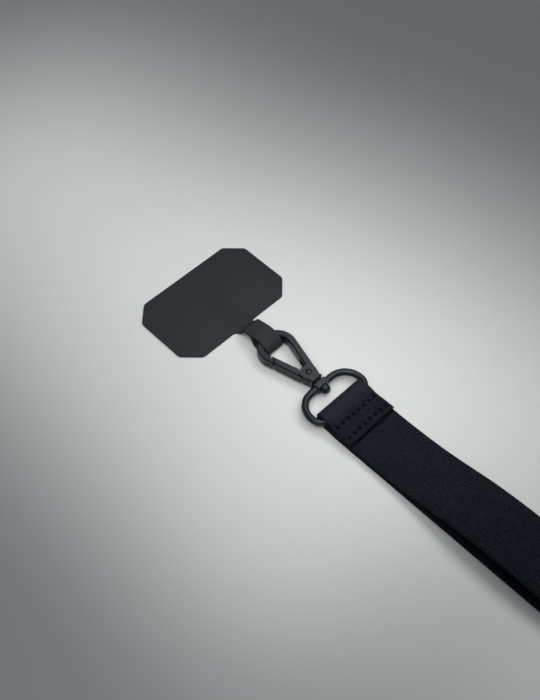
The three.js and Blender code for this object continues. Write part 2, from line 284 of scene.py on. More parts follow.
def metal_finish():
    finish = Finish("black_metal")
    place = finish.object_place()
    peel = finish.noise(place, PEEL_SCALE, 2.0)
    handling = finish.noise(place, HANDLING_SCALE, 3.0)
    finish.surface({
        "Base Color": finish.colours(handling, METAL_DARK, METAL_LIGHT),
        "Roughness": handling * METAL_ROUGH_SPREAD + METAL_ROUGH,
        "Metallic": 0.0,
        "Specular IOR Level": METAL_SHINE,
        "Specular Tint": METAL_TINT,
    })
    finish.bump(peel, PEEL_DEPTH, PEEL_STRENGTH)
    return finish.material


SLOTS["black_metal"] = metal_finish()


# %% [markdown]
# The webbing is a twill. Each warp yarn runs along the band, floats over two weft yarns and
# dives under two, and its neighbour does the same one weft later, which draws the slanting
# lines. The pattern is worked out yarn by yarn on the band's own map, in metres along and
# across, so it follows every fold. Noise breaks the lines up, and they are weaker on the pressed
# flap. Towards the fold a band of painted highlight lightens the cloth along the fold's crest. A
# value on the vertices paints shade into the stitch holes, onto the cut end and on the step below
# it.

# %% The webbing's finish
WEB_DARK = (0.0010, 0.0016, 0.0032)
WEB_LIGHT = (0.0230, 0.0280, 0.0380)
WARP_PITCH = 0.225 * MM
WEFT_PITCH = 0.507 * MM
WEFTS_IN_REPEAT = 4
SELVEDGE_PITCH = 1.5 * MM
FUZZ_SCALE = 1700
PATCHY_SCALE = 430
PATCHY_GAIN = 2.6
PATCHY_CUT = 0.55
WEAR_SCALE = 45
WEAR_SHARE = 0.2
FUZZ_GAIN = 3.2
FUZZ_CUT = 0.95
FUZZ_SHARE = 0.5
YARN_LEAST = 0.9
YARN_ROUND = 0.5
TWILL_GAIN = 1.5
TWILL_CUT = 0.4
TWILL_MEAN = 0.42
SHADE_CUT = 0.04
PRESSED_LOSS = 0.5
# How much lighter the painted highlight makes the fold's crest.
FOLD_HIGHLIGHT_SHARE = 0.38
# How far the painted shade pushes the colour down in the stitch holes, on the cut end and on the
# step below it.
PAINTED_SHADE_PUSH = 0.05
WEB_ROUGH = 0.92
WEB_ROUGH_SPREAD = 0.14
WEB_SHINE = 0.06
WEB_SHEEN = 0.03
WEB_SHEEN_ROUGH = 0.4
FUZZ_RELIEF = 0.4
WEAVE_DEPTH = 0.14 * MM
WEAVE_STRENGTH = 0.9
FLAP_REACH = 13.5 * MM
FLAP_FADE = 3 * MM
# Where the painted highlight on the fold's crest is centred along the band, and how far it reaches.
FOLD_HIGHLIGHT_PLACE = 14.8 * MM
FOLD_HIGHLIGHT_REACH = 5 * MM
MAP_NAME = "weave"
# The vertex value that carries the painted shade of the stitch holes, the cut end and the step.
PAINTED_SHADE_NAME = "painted_shade"


def twill(along, across):
    warp = across / WARP_PITCH
    step = ((along / WEFT_PITCH - warp.floor()) / WEFTS_IN_REPEAT).fract()
    on_top = (step * 2 * math.pi).sine() * 0.5 + 0.5
    from_middle = abs(warp.fract() * 2 - 1)
    round_yarn = 1 - from_middle * from_middle
    return (on_top * (YARN_LEAST + round_yarn * YARN_ROUND) * TWILL_GAIN - TWILL_CUT).clamped()


def webbing_finish():
    finish = Finish("webbing")
    place = finish.node("ShaderNodeUVMap", {"uv_map": MAP_NAME}, {})
    along = finish.node("ShaderNodeSeparateXYZ", {}, {"Vector": place}, "X")
    across = finish.node("ShaderNodeSeparateXYZ", {}, {"Vector": place}, "Y")
    pressed = ((FLAP_REACH - along) / FLAP_FADE).clamped()
    patchy = finish.noise(finish.object_place(), PATCHY_SCALE, 3.0, 0.6)
    strength = (patchy * PATCHY_GAIN - PATCHY_CUT).clamped() * (1 - pressed * PRESSED_LOSS)
    lines = (twill(along, across) - TWILL_MEAN) * strength + TWILL_MEAN
    fuzz = finish.noise(finish.object_place(), FUZZ_SCALE, 3.0, 0.7)
    wear = finish.noise(finish.object_place(), WEAR_SCALE, 2.0)
    # Painted highlight: the cloth is made lighter along the fold's crest.
    fold_highlight = (1 - abs(along - FOLD_HIGHLIGHT_PLACE) / FOLD_HIGHLIGHT_REACH).clamped()
    shade = lines * (fuzz * FUZZ_GAIN - FUZZ_CUT).clamped() + (fuzz - 0.5) * FUZZ_SHARE
    shade = shade + wear * WEAR_SHARE - SHADE_CUT
    shade = shade + fold_highlight * FOLD_HIGHLIGHT_SHARE
    # Painted shade: the vertex value darkens the stitch holes, the cut end and the step below it.
    hole = finish.node("ShaderNodeAttribute", {"attribute_name": PAINTED_SHADE_NAME}, {}, "Fac")
    shade = shade * (1 - hole) - hole * PAINTED_SHADE_PUSH
    finish.surface({
        "Base Color": finish.colours(shade.clamped(), WEB_DARK, WEB_LIGHT),
        "Roughness": WEB_ROUGH - lines * WEB_ROUGH_SPREAD,
        "Specular IOR Level": WEB_SHINE,
        "Sheen Weight": WEB_SHEEN,
        "Sheen Roughness": WEB_SHEEN_ROUGH,
    })
    finish.bump(lines + fuzz * FUZZ_RELIEF, WEAVE_DEPTH, WEAVE_STRENGTH)
    return finish.material


SLOTS["webbing"] = webbing_finish()


# %% [markdown]
# Cloth is easiest to make the way it is made: cut flat, then laid along its route. A Route is
# that line seen from the side. It is drawn with straight runs, round turns and level S bends,
# and it says where a point lies that is so far along the cloth, and which way is up there.

# %% Routes
class Route:
    def __init__(self, x, z):
        self.points = [Vector((x, z))]

    def run(self, x, z):
        self.points.append(Vector((x, z)))

    def turn(self, x, z, degrees, steps=48):
        start = self.points[-1] - Vector((x, z))
        for i in range(1, steps + 1):
            angle = math.radians(degrees) * i / steps
            spun = Matrix.Rotation(angle, 2) @ start
            self.points.append(Vector((x, z)) + spun)

    def bend(self, x, z, steps=32):
        x0, z0 = self.points[-1]
        for i in range(1, steps + 1):
            t = i / steps
            level = 3 * t * t - 2 * t ** 3
            pace = 1.5 * t * (1 - t) + t ** 3
            self.points.append(Vector((x0 + (x - x0) * pace, z0 + (z - z0) * level)))

    def finish(self):
        pairs = list(zip(self.points, self.points[1:]))
        self.marks = [0.0]
        for a, b in pairs:
            self.marks.append(self.marks[-1] + (b - a).length)
        self.length = self.marks[-1]
        ways = [(b - a).normalized() for a, b in pairs]
        joined = [(a + b).normalized() for a, b in zip(ways, ways[1:])]
        self.ways = [ways[0], *joined, ways[-1]]
        return self

    def at(self, along):
        i = min(max(bisect.bisect(self.marks, along) - 1, 0), len(self.points) - 2)
        share = (along - self.marks[i]) / (self.marks[i + 1] - self.marks[i])
        place = self.points[i].lerp(self.points[i + 1], share)
        way = self.ways[i].lerp(self.ways[i + 1], min(max(share, 0), 1)).normalized()
        return place, Vector((-way.y, way.x))


def lay(bm, route, start=0.0, side=1.0):
    """Bends flat cloth along a route. What lies before the start stays flat."""
    known = {}
    for vert in bm.verts:
        along = vert.co.x - start
        if start and along < 0:
            continue
        key = round(along, 7)
        if key not in known:
            known[key] = route.at(max(along, 0.0))
        place, up = known[key]
        spot = place + up * vert.co.z * side
        vert.co = Vector((spot.x, vert.co.y, spot.y))


def run_on(bm, edges, reach, steps):
    """Draws a row of edges out in a straight line, in equal steps."""
    swept = bmesh.ops.spin(
        bm, geom=edges, cent=(0, 0, 0), axis=(0, 0, 1), dvec=Vector(reach) / steps,
        angle=0, steps=steps, use_duplicate=False,
    )
    return [e for e in swept["geom_last"] if isinstance(e, bmesh.types.BMEdge)]


# %% [markdown]
# The strap is one band of webbing. It starts at the folded end on top, turns round the ring's
# bar, runs out along the table, comes back over itself at the far end, rises in a long low hump
# where it lifts off the lower layer, and is caught under its own folded end.

# %% The webbing's route
WEB_WIDTH = strap_high.y - strap_low.y
WEB_THICK = 1.7 * MM
PLY_GAP = 0.2 * MM
SEAT_GAP = 0.3 * MM
WIRE_RADIUS = 1.5 * MM
FLAP_LENGTH = 18.2 * MM
RAMP_LENGTH = 6.5 * MM
TUCK_LENGTH = 9.4 * MM
BEND_INSIDE = 6 * MM
BEND_RELAX = 70 * MM
HUMP_START = 7 * MM
HUMP_LENGTH = 130 * MM
HUMP_RISE = 6.4 * MM

BAR_X = ring_high.x - WIRE_RADIUS
FOLD_RADIUS = WIRE_RADIUS + SEAT_GAP + WEB_THICK / 2
FOLD_X = strap_low.x + WEB_THICK / 2 + FOLD_RADIUS
LOWER_Z = WEB_THICK / 2
UPPER_Z = LOWER_Z + WEB_THICK + PLY_GAP
FLAP_Z = UPPER_Z + WEB_THICK + PLY_GAP
FLAP_END = FOLD_X - FOLD_RADIUS + FLAP_LENGTH
FLAP_START = BAR_X + RAMP_LENGTH
BEND = BEND_INSIDE + WEB_THICK / 2
BEND_X = strap_high.x - WEB_THICK / 2 - BEND
HUMP_X = FLAP_END + HUMP_START


def webbing_route():
    route = Route(FLAP_END, FLAP_Z)
    route.run(FLAP_START, FLAP_Z)
    route.bend(BAR_X, AXIS_Z + FOLD_RADIUS)
    route.run(FOLD_X, AXIS_Z + FOLD_RADIUS)
    route.turn(FOLD_X, AXIS_Z, 180)
    route.run(BAR_X, AXIS_Z - FOLD_RADIUS)
    route.bend(FLAP_START, LOWER_Z)
    route.run(BEND_X, LOWER_Z)
    route.turn(BEND_X, LOWER_Z + BEND, 180)
    route.bend(BEND_X - BEND_RELAX, UPPER_Z)
    route.run(HUMP_X + HUMP_LENGTH, UPPER_Z)
    route.bend(HUMP_X + HUMP_LENGTH / 2, UPPER_Z + HUMP_RISE)
    route.bend(HUMP_X, UPPER_Z)
    route.run(FLAP_END - TUCK_LENGTH, UPPER_Z)
    return route.finish()


web_route = webbing_route()
print("webbing: %.0f mm long" % (web_route.length / MM))


# %% [markdown]
# A band of webbing has round selvedges where the weft turns back, and each turn shows as a small
# scallop. The section is a rectangle with its corners rounded by a vertex bevel, drawn out along
# the band in steps of a third of a scallop. Then the edges are nudged in and out, the fold is
# pinched by the ring, and the cloth sinks a little at each stitch hole. The holes, the cut end and
# the step below it are marked on the vertices, and the finish paints shade on them: painted shade
# in the holes and on the cut end, and a painted shadow on the step below the folded end.

# %% The webbing
WEB_BODY = 1.62 * MM
SELVEDGE_ROUND = 0.72 * MM
SCALLOP = 0.09 * MM
SCALLOP_ZONE = 0.8 * MM
PINCH = 0.62 * MM
PINCH_REACH = 9 * MM
WEB_COLUMNS = 6
FLAP_CUTS_ACROSS = 15
FLAP_CUTS_ALONG = 1
STITCH_PITCH = 3.0 * MM
STITCH_ROWS = (2.7 * MM, 8.8 * MM)
STITCH_COUNT = 8
STITCH_SPAN = STITCH_PITCH * (STITCH_COUNT - 1)
HOLE_DEPTH = 0.85 * MM
HOLE_RADIUS = 0.6 * MM
HOLE_FULLNESS = 1.6
# How far the painted shadow on the upper layer reaches beside the folded end's step.
STEP_REACH = 0.8 * MM
FLAP_PUFF = 0.4 * MM
ROW_DEPTH = 0.12 * MM
ROW_REACH = 0.8 * MM
HEM_BACK = 0.95 * MM
HEM_REACH = 0.35 * MM
HEM_RISE = 0.18 * MM
END_ROUND = 0.5 * MM
END_SHARE = 0.8
SEALED_END = 0.06 * MM


def web_outline():
    """The band's section: points across and up, in order round it."""
    bm = bmesh.new()
    bmesh.ops.create_grid(bm, x_segments=1, y_segments=1, size=0.5)
    bmesh.ops.scale(bm, vec=(WEB_WIDTH - 2 * SCALLOP, WEB_BODY, 1), verts=bm.verts)
    bmesh.ops.bevel(
        bm, geom=bm.verts[:], offset=SELVEDGE_ROUND, segments=3, profile=0.5,
        affect="VERTICES", material=-1,
    )
    wide = [e for e in bm.edges if e.calc_length() > WEB_WIDTH / 2]
    bmesh.ops.subdivide_edges(bm, edges=wide, cuts=WEB_COLUMNS - 1)
    bmesh.ops.dissolve_faces(bm, faces=bm.faces[:])
    bm.faces.ensure_lookup_table()
    outline = [loop.vert.co.xy for loop in bm.faces[0].loops]
    bm.free()
    return outline


def rolled_band(length, rings):
    """A grid rolled up round the section: one closed band, lying straight along X."""
    outline = web_outline()
    bm = bmesh.new()
    bmesh.ops.create_grid(bm, x_segments=rings, y_segments=len(outline), size=0.5)
    for vert in bm.verts:
        across, up = outline[round((vert.co.y + 0.5) * len(outline)) % len(outline)]
        vert.co = Vector(((vert.co.x + 0.5) * length, across, up))
    bmesh.ops.remove_doubles(bm, verts=bm.verts, dist=MM / 1000)
    bmesh.ops.holes_fill(bm, edges=[e for e in bm.edges if e.is_boundary])
    bmesh.ops.recalc_face_normals(bm, faces=bm.faces)
    return bm


def stitch_holes():
    for back in STITCH_ROWS:
        for i in range(STITCH_COUNT):
            yield back, i * STITCH_PITCH - STITCH_SPAN / 2


HOLES = list(stitch_holes())


def hole_share(x, y):
    """1 in the middle of a stitch hole, falling to 0 round it."""
    near = sum(math.exp(-(math.dist((x, y), hole) / HOLE_RADIUS) ** 2) for hole in HOLES)
    return min(HOLE_FULLNESS * near, 1)


def flap_relief(x, y):
    """How far the folded end stands out from flat: it puffs between the rows and the holes."""
    near, far = STITCH_ROWS
    between = math.sin(math.pi * min(max((x - near) / (far - near), 0), 1))
    across = max(0.0, 1 - (2 * y / WEB_WIDTH) ** 4)
    row = max(math.exp(-((x - back) / ROW_REACH) ** 2) for back in STITCH_ROWS)
    swell = 0.5 + 0.5 * math.cos(2 * math.pi * (y + STITCH_SPAN / 2) / STITCH_PITCH)
    hem = math.exp(-((x - HEM_BACK) / HEM_REACH) ** 2)
    return FLAP_PUFF * between * across - ROW_DEPTH * row * across * swell + HEM_RISE * hem


def webbing():
    length = web_route.length
    bm = rolled_band(length, round(length / (SELVEDGE_PITCH / 3)))
    across, along = Vector((0, 1, 0)), Vector((1, 0, 0))
    for way, cuts in ((across, FLAP_CUTS_ACROSS), (along, FLAP_CUTS_ALONG)):
        tops = [f for f in bm.faces if f.normal.z > 0.99]
        flap = [f for f in tops if f.calc_center_median().x < FLAP_LENGTH]
        edges = {e for f in flap for e in f.edges}
        lying = [e for e in edges if abs((e.verts[1].co - e.verts[0].co).normalized() @ way) > 0.9]
        bmesh.ops.subdivide_edges(bm, edges=lying, cuts=cuts)

    layer = bm.loops.layers.uv.new(MAP_NAME)
    for face in bm.faces:
        for loop in face.loops:
            loop[layer].uv = loop.vert.co.xy
    # This vertex value carries the painted shade. In the holes it also sets how deep the cloth
    # sinks.
    hole = bm.verts.layers.float.new(PAINTED_SHADE_NAME)

    for vert in bm.verts:
        x, y, z = vert.co
        edge = max(0.0, 1 - (WEB_WIDTH / 2 - abs(y)) / SCALLOP_ZONE)
        out = SCALLOP * math.cos(2 * math.pi * x / SELVEDGE_PITCH) * edge
        near_fold = math.exp(-(((x - FLAP_LENGTH) / PINCH_REACH) ** 2))
        vert.co.y = (y + math.copysign(out, y)) * (1 - 2 * PINCH / WEB_WIDTH * near_fold)
        # Painted shade in each stitch hole, where the cloth also sinks.
        if z > 0 and x < FLAP_LENGTH:
            vert[hole] = hole_share(x, y)
            vert.co.z += flap_relief(x, y) - HOLE_DEPTH * vert[hole]
        # Painted shade on the cut end, and a painted shadow on the step below the folded end.
        below_end = z > 0 and abs(x - length + TUCK_LENGTH) < STEP_REACH
        if x < SEALED_END or below_end:
            vert[hole] = 1
        from_end = min(x, length - x)
        if from_end < END_ROUND:
            level = math.sqrt(1 - (1 - from_end / END_ROUND) ** 2)
            vert.co.z *= END_SHARE + (1 - END_SHARE) * level
    lay(bm, web_route, side=-1)
    bmesh.ops.reverse_faces(bm, faces=bm.faces)
    return piece("webbing_band", bm, "sling", "webbing", ["strap"], crisp=60)


band = webbing()


# %% [markdown]
# The patch is cut from the same sheet as its tab. The eight sides come from a vertex bevel on a
# rectangle, and a second, smaller one eases the corners. The tab is drawn out of the edge, with
# round shoulders at its root, then laid along its route: up to the neck, over the hook's nose, down
# through the eye, back under the hook and up under the neck.

# %% The patch and its tab
PATCH_X = -patch_low.x
PATCH_Y = patch_high.y
PATCH_CORNER = 7.2 * MM
PATCH_EASE = 1.0 * MM
SHEET_THICK = 0.92 * MM
TAB_WIDTH = 8.5 * MM
NECK_SHOULDER = 1.8 * MM
NECK_LENGTH = 2.2 * MM
NECK_STEPS = 6
TAB_STEPS = 110
PLY_PLAY = 0.02 * MM
CUT_EDGE = 0.14 * MM
CUT_ANGLE = 50
NECK_LIFT = 5.7 * MM
NECK_RAMP = 6.0 * MM
NOSE_LEAD = 0.3 * MM
JOIN_REACH = 3.6 * MM
LOOP_TOP_ROUND = 3.8 * MM
LOOP_LEAN = 20
CREASE_BACK = 1.6 * MM
LOOP_LOW_ROUND = 1.8 * MM
LEG = AXIS_Z - SHEET_THICK / 2


def tab_route():
    neck = PATCH_X + NECK_RAMP
    inner = patch_high.x - SHEET_THICK / 2
    top = AXIS_Z + LEG
    under = AXIS_Z - LEG
    below = SHEET_THICK + PLY_PLAY
    crease = HOOK_X + CREASE_BACK
    lean = math.radians(LOOP_LEAN)
    start_x = inner - LOOP_TOP_ROUND * (1 - math.sin(lean))
    start_z = top - (start_x - crease) * math.tan(lean)
    route = Route(PATCH_X, SHEET_THICK / 2)
    route.bend(neck, NECK_LIFT)
    route.run(HOOK_X - NOSE_LEAD, top)
    route.run(crease, top)
    route.run(start_x, start_z)
    route.turn(inner - LOOP_TOP_ROUND, start_z - LOOP_TOP_ROUND * math.cos(lean), LOOP_LEAN - 90, 24)
    route.run(inner, under + LOOP_LOW_ROUND)
    route.turn(inner - LOOP_LOW_ROUND, under + LOOP_LOW_ROUND, -90, 16)
    route.run(HOOK_X, under)
    slope = (top - NECK_LIFT) / (HOOK_X - NOSE_LEAD - neck)
    join = HOOK_X - JOIN_REACH
    route.bend(join, NECK_LIFT + slope * (join - neck) - below)
    route.run(neck, NECK_LIFT - below)
    return route.finish()


def patch():
    route = tab_route()
    bm = bmesh.new()
    bmesh.ops.create_grid(bm, x_segments=1, y_segments=1, size=1)
    bmesh.ops.scale(bm, vec=(PATCH_X, PATCH_Y, 1), verts=bm.verts)
    for offset, segments in ((PATCH_CORNER, 1), (PATCH_EASE, 4)):
        bmesh.ops.bevel(
            bm, geom=bm.verts[:], offset=offset, segments=segments, profile=0.5,
            affect="VERTICES", material=-1,
        )
    root = TAB_WIDTH / 2 + NECK_SHOULDER
    for y in (-root, -TAB_WIDTH / 2, TAB_WIDTH / 2, root):
        everything = bm.verts[:] + bm.edges[:] + bm.faces[:]
        bmesh.ops.bisect_plane(bm, geom=everything, plane_co=(0, y, 0), plane_no=(0, 1, 0))
    rim = [e for e in bm.edges if all(v.co.x > PATCH_X - MM / 10 for v in e.verts)]
    wide = [e for e in rim if abs(sum(v.co.y for v in e.verts) / 2) < root]
    reached = run_on(bm, wide, (NECK_LENGTH, 0, 0), NECK_STEPS)
    middle = [e for e in reached if abs(sum(v.co.y for v in e.verts) / 2) < TAB_WIDTH / 4]
    run_on(bm, middle, (route.length - NECK_LENGTH, 0, 0), TAB_STEPS)
    bmesh.ops.remove_doubles(bm, verts=bm.verts, dist=MM / 1000)
    for vert in bm.verts:
        share = min((vert.co.x - PATCH_X) / NECK_LENGTH, 1)
        out = abs(vert.co.y) - TAB_WIDTH / 2
        if share > -0.01 and MM / 100 < out < NECK_SHOULDER + MM / 100:
            out = NECK_SHOULDER * (1 - math.sqrt(1 - (1 - max(share, 0)) ** 2))
            vert.co.y = math.copysign(TAB_WIDTH / 2 + out, vert.co.y)
    bmesh.ops.remove_doubles(bm, verts=bm.verts, dist=MM / 8)
    bmesh.ops.dissolve_degenerate(bm, edges=bm.edges, dist=MM / 1000)
    flat = [v for v in bm.verts if v.co.x < PATCH_X - MM / 100]
    lay(bm, route, start=PATCH_X)
    for vert in flat:
        vert.co.z = SHEET_THICK / 2
    bmesh.ops.recalc_face_normals(bm, faces=bm.faces)
    made = piece("phone_patch_sheet", bm, "hook", "patch_sheet", ["phone_patch"])
    wall = made.modifiers.new("thickness", "SOLIDIFY")
    wall.thickness = SHEET_THICK
    wall.offset = 0
    wall.use_even_offset = True
    soft = made.modifiers.new("cut_edge", "BEVEL")
    soft.width = CUT_EDGE
    soft.segments = 2
    soft.limit_method = "ANGLE"
    soft.angle_limit = math.radians(CUT_ANGLE)
    print("tab: %.1f mm of sheet" % (route.length / MM))
    return made, route.length


sheet, tab_length = patch()


# %% [markdown]
# The hook and its gate are castings whose true shape is in the frame. A casting differs from a
# drawn solid by its soft edges, so each is a merged copy of its solid with the flat faces joined
# up again and every edge rounded. Big flat faces then need their normals kept flat, which a
# Weighted Normal modifier does. The gate's ends are drawn in by 0.35 mm or less, because a seam
# as narrow as the true gap is thinner than a pixel of the picture.

# %% Castings
SOFT_ANGLE = 24
HOOK_SOFT = 0.24 * MM
GATE_SOFT = 0.22 * MM
PIVOT = ((rivet_low + rivet_high) / 2).xy
GATE_SEAMS = ((14.65 * MM, -0.35 * MM), (16.65 * MM, -0.35 * MM), (3.8 * MM, 0.25 * MM))


def widen_seams(bm):
    """Draws the gate's two ends in a little, so that the seams beside them show."""
    for vert in bm.verts:
        reach = vert.co.xy - PIVOT
        for seam, shift in GATE_SEAMS:
            if abs(reach.length - seam) < MM / 20:
                vert.co.xy += reach.normalized() * shift


def casting(name, node, body, edge, cut_x=None):
    bm = bmesh.new()
    bm.from_mesh(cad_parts[node].data)
    bmesh.ops.remove_doubles(bm, verts=bm.verts, dist=MM / 1000)
    if node == "gate":
        widen_seams(bm)
    if cut_x is not None:
        everything = bm.verts[:] + bm.edges[:] + bm.faces[:]
        cut = bmesh.ops.bisect_plane(
            bm, geom=everything, plane_co=(cut_x, 0, 0), plane_no=(1, 0, 0), clear_outer=True,
        )
        rim = [e for e in cut["geom_cut"] if isinstance(e, bmesh.types.BMEdge)]
        bmesh.ops.contextual_create(bm, geom=rim)
    bmesh.ops.dissolve_limit(bm, angle_limit=math.radians(1), verts=bm.verts, edges=bm.edges)
    limit = math.radians(SOFT_ANGLE)
    bmesh.ops.bevel(
        bm, geom=[e for e in bm.edges if e.is_manifold and e.calc_face_angle() > limit],
        offset=edge, segments=2, profile=0.5, affect="EDGES", clamp_overlap=True, material=-1,
    )
    bmesh.ops.dissolve_degenerate(bm, edges=bm.edges, dist=MM / 1000)
    made = piece(name, bm, body, "black_metal", [node])
    flat = made.modifiers.new("flat_faces", "WEIGHTED_NORMAL")
    flat.keep_sharp = True
    return made


STUD_RADIUS = 1.2 * MM
STUD_HEAD_RADIUS = 2.1 * MM
STUD_HEAD_LENGTH = 2.6 * MM
STUD_RIM = 0.9 * MM
STUD_DOME = 1.7 * MM
STUD_TIP = 1.1 * MM
STUD_TIP_MARGIN = 1.2
STUD_GROOVE = 0.15 * MM
BOSS_SIZE = Vector((2.8, 6.0, 4.4)) * MM
RING_X = ring_low.x + WIRE_RADIUS

casting("hook_casting", "hook_body", "hook", HOOK_SOFT, cut_x=RING_X)
casting("gate_casting", "gate", "lever", GATE_SOFT)


# %% [markdown]
# Turned pieces are a profile spun about its axis: the stud that swivels in the ring's boss, and
# the rivet that the gate turns on. The profile is a chain of vertices from the axis to the axis.

# %% Turned pieces
def turned(profile, axis, centre, steps=48):
    bm = bmesh.new()
    across = Vector((0, 0, 1)) if axis == "X" else Vector((1, 0, 0))
    along = Vector((1, 0, 0)) if axis == "X" else Vector((0, 0, 1))
    chain = [bm.verts.new(centre + along * a + across * r) for a, r in profile]
    edges = [bm.edges.new(pair) for pair in zip(chain, chain[1:])]
    bmesh.ops.spin(
        bm, geom=edges, cent=centre, axis=along, angle=2 * math.pi, steps=steps, use_merge=True,
    )
    bmesh.ops.remove_doubles(bm, verts=bm.verts, dist=MM / 1000)
    bmesh.ops.recalc_face_normals(bm, faces=bm.faces)
    return bm


def domed(start, rise, radius, steps=8):
    turns = [math.pi / 2 * i / steps for i in range(steps + 1)]
    return [(start + rise * math.sin(t), radius * math.cos(t)) for t in turns]


def stud():
    shoulder = BOSS_SIZE.x / 2 + SEAT_GAP
    end = shoulder + STUD_HEAD_LENGTH
    whole = domed(shoulder + STUD_RIM, STUD_DOME, STUD_HEAD_RADIUS)
    dome = [(a, r) for a, r in whole if r > STUD_TIP * STUD_TIP_MARGIN]
    foot = dome[-1][0] - STUD_GROOVE
    shaft = [(0, 0), (0, STUD_RADIUS), (shoulder, STUD_RADIUS), (shoulder, STUD_HEAD_RADIUS)]
    profile = [*shaft, *dome, (foot, STUD_TIP), (end, STUD_TIP), (end, 0)]
    bm = turned(profile, "X", Vector((RING_X, 0, AXIS_Z)))
    return piece("swivel_stud", bm, "hook", "black_metal")


RIVET_RISE = 0.35 * MM
RIVET_SEAT = 0.2 * MM
RIVET_SHAFT = 0.8 * MM


def rivet():
    centre = (rivet_low + rivet_high) / 2
    top = rivet_high.z - centre.z
    radius = (rivet_high.x - rivet_low.x) / 2
    seat = top - RIVET_RISE - RIVET_SEAT
    upper = domed(top - RIVET_RISE, RIVET_RISE, radius)
    lower = [(-a, r) for a, r in reversed(upper)]
    shaft = [(-seat, RIVET_SHAFT), (seat, RIVET_SHAFT)]
    profile = [*lower, (-seat, radius), *shaft, (seat, radius), *upper]
    bm = turned(profile, "Z", centre)
    return piece("gate_rivet_turned", bm, "hook", "black_metal", ["gate_rivet"])


stud()
rivet()


# %% [markdown]
# The ring is round wire bent to an oblong, with a boss welded on its front for the stud. Half
# of the wire is swept with straight runs and quarter turns, and mirrored. The boss is a block
# with soft edges and a bore, joined on with a Boolean.

# %% The ring
RING_HALF = ring_high.y - WIRE_RADIUS
FRONT_ROUND = 8.2 * MM
REAR_ROUND = 4.8 * MM
BORE_ROOM = 0.25 * MM
BORE_RADIUS = STUD_RADIUS + BORE_ROOM
BORE_SIDES = 32
BOSS_SOFT = 0.38 * MM
WIRE_SIDES = 28


def tool(bm):
    mesh = bpy.data.meshes.new("tool")
    bm.to_mesh(mesh)
    bm.free()
    made = bpy.data.objects.new("tool", mesh)
    bpy.context.scene.collection.objects.link(made)
    return made


def carved(bm, *steps):
    """Joins or cuts a mesh by other meshes and gives the result back as a bmesh."""
    base = tool(bm)
    tools = [tool(other) for _, other in steps]
    for (operation, _), other in zip(steps, tools):
        cut = base.modifiers.new("cut", "BOOLEAN")
        cut.operation = operation
        cut.solver = "EXACT"
        cut.object = other
    bpy.context.view_layer.update()
    result = bmesh.new()
    result.from_object(base, bpy.context.evaluated_depsgraph_get())
    for made in (base, *tools):
        bpy.data.objects.remove(made)
    bmesh.ops.dissolve_degenerate(result, edges=result.edges, dist=MM / 1000)
    return result


def swept_turn(bm, edges, x, y, degrees, steps):
    swept = bmesh.ops.spin(
        bm, geom=edges, cent=(x, y, AXIS_Z), axis=(0, 0, 1), angle=math.radians(degrees),
        steps=steps, use_duplicate=False,
    )
    return [e for e in swept["geom_last"] if isinstance(e, bmesh.types.BMEdge)]


def ring_wire():
    bm = bmesh.new()
    bmesh.ops.create_circle(bm, segments=WIRE_SIDES, radius=WIRE_RADIUS)
    bmesh.ops.rotate(bm, cent=(0, 0, 0), matrix=Matrix.Rotation(math.pi / 2, 3, "X"), verts=bm.verts)
    bmesh.ops.translate(bm, vec=(RING_X, 0, AXIS_Z), verts=bm.verts)
    end = run_on(bm, bm.edges[:], (0, RING_HALF - FRONT_ROUND, 0), 1)
    end = swept_turn(bm, end, RING_X + FRONT_ROUND, RING_HALF - FRONT_ROUND, -90, 20)
    end = run_on(bm, end, (BAR_X - RING_X - FRONT_ROUND - REAR_ROUND, 0, 0), 1)
    end = swept_turn(bm, end, BAR_X - REAR_ROUND, RING_HALF - REAR_ROUND, -90, 14)
    run_on(bm, end, (0, REAR_ROUND - RING_HALF, 0), 1)
    everything = bm.verts[:] + bm.edges[:] + bm.faces[:]
    bmesh.ops.mirror(bm, geom=everything, matrix=Matrix.Identity(4), merge_dist=MM / 1000, axis="Y")
    bmesh.ops.remove_doubles(bm, verts=bm.verts, dist=MM / 1000)
    bmesh.ops.recalc_face_normals(bm, faces=bm.faces)
    return bm


def boss():
    bm = bmesh.new()
    bmesh.ops.create_cube(bm, size=1)
    bmesh.ops.scale(bm, vec=BOSS_SIZE, verts=bm.verts)
    bmesh.ops.bevel(
        bm, geom=bm.edges[:], offset=BOSS_SOFT, segments=3, profile=0.5, affect="EDGES", material=-1,
    )
    bmesh.ops.translate(bm, vec=(RING_X, 0, AXIS_Z), verts=bm.verts)
    return bm


def bore():
    reach = BOSS_SIZE.x
    profile = [(-reach, 0), (-reach, BORE_RADIUS), (reach, BORE_RADIUS), (reach, 0)]
    return turned(profile, "X", Vector((RING_X, 0, AXIS_Z)), BORE_SIDES)


def ring():
    bm = carved(ring_wire(), ("UNION", boss()), ("DIFFERENCE", bore()))
    made = piece("ring_wire", bm, "sling", "black_metal", ["ring"])
    flat = made.modifiers.new("flat_faces", "WEIGHTED_NORMAL")
    flat.keep_sharp = True
    return made


ring()


# %% [markdown]
# The stitches hold the loop closed. Each is a short arch of thread that dives into the cloth at
# both ends: a small circle spun about an axis that lies below the surface. Only its crown shows,
# and the deeper it sinks, the more painted shade it is given.

# %% The stitches
THREAD_RADIUS = 0.2 * MM
STITCH_RISE = 0.8 * MM
THREAD_SHOW = 0.05 * MM
# How deep the thread sinks before its painted shade is full.
THREAD_SHADE_DEPTH = 0.3 * MM
THREAD_SIDES = 8
ARCH_STEPS = 7


